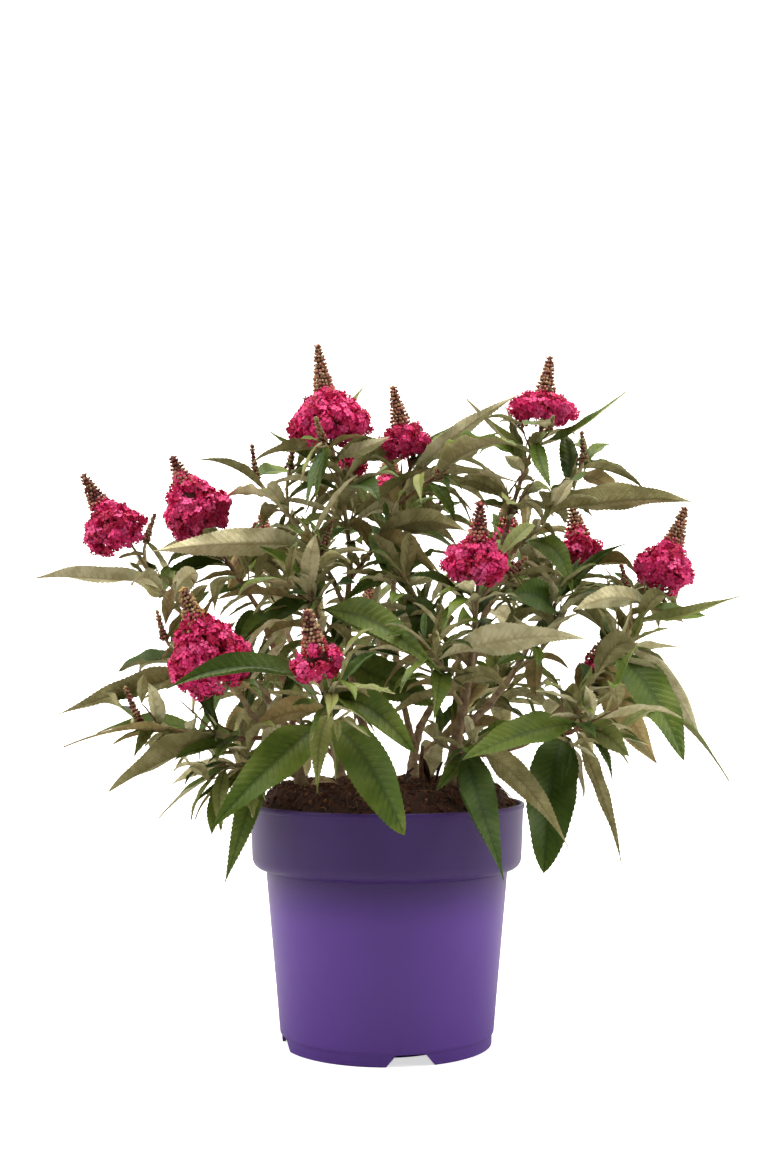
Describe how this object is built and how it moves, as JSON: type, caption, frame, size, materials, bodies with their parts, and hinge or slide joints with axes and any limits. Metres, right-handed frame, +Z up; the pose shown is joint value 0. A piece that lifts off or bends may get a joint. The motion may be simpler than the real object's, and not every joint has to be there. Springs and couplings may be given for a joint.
{
  "type": "potted butterfly bush",
  "caption": "Flowering butterfly bush in a round plastic nursery pot: woody stems, drooping lance-shaped leaves and cones of blossom under spikes of buds.",
  "frame": {"origin": "middle of the flat underside of the pot, on the pot's axis", "axes": "+Z up along the pot's axis, -Y towards the front of the plant, +X to the right seen from the front"},
  "size_m": [0.584, 0.3859, 0.585],
  "materials": {
    "pot_plastic": "satin",
    "compost": "rough, fibrous",
    "bark": "matt",
    "foliage": "matt, felted below"
  },
  "bodies": {
    "root": {"bough_back_centre": "bark", "bough_back_left": "bark", "bough_back_right": "bark", "bough_centre_front": "bark", "bough_front": "bark", "bough_left_front": "bark", "bough_left_outer": "bark", "bough_left_upper": "bark", "bough_right": "bark", "bough_right_back": "bark", "bough_tall_left": "bark", "bough_tall_right": "bark", "compost": "compost", "foliage_back_centre": "foliage", "foliage_back_left": "foliage", "foliage_back_low_left": "foliage", "foliage_back_low_right": "foliage", "foliage_back_middle": "foliage", "foliage_back_right": "foliage", "foliage_centre": "foliage", "foliage_centre_front": "foliage", "foliage_centre_left": "foliage", "foliage_centre_low": "foliage", "foliage_far_left": "foliage", "foliage_far_right": "foliage", "foliage_front_left": "foliage", "foliage_inner_left": "foliage", "foliage_left_front": "foliage", "foliage_left_middle": "foliage", "foliage_left_side": "foliage", "foliage_low_front_right": "foliage", "foliage_low_left": "foliage", "foliage_low_left_foot": "foliage", "foliage_low_right": "foliage", "foliage_right_back": "foliage", "foliage_right_middle": "foliage", "foliage_right_side": "foliage", "foliage_right_upper": "foliage", "foliage_top_centre": "foliage", "foliage_top_left": "foliage", "foliage_top_right": "foliage", "foliage_upper_left": "foliage", "pot": "pot_plastic", "stem_back": "bark", "stem_back_left": "bark", "stem_centre": "bark", "stem_left": "bark", "stem_old": "bark", "stem_right": "bark"}
  },
  "joints": []
}
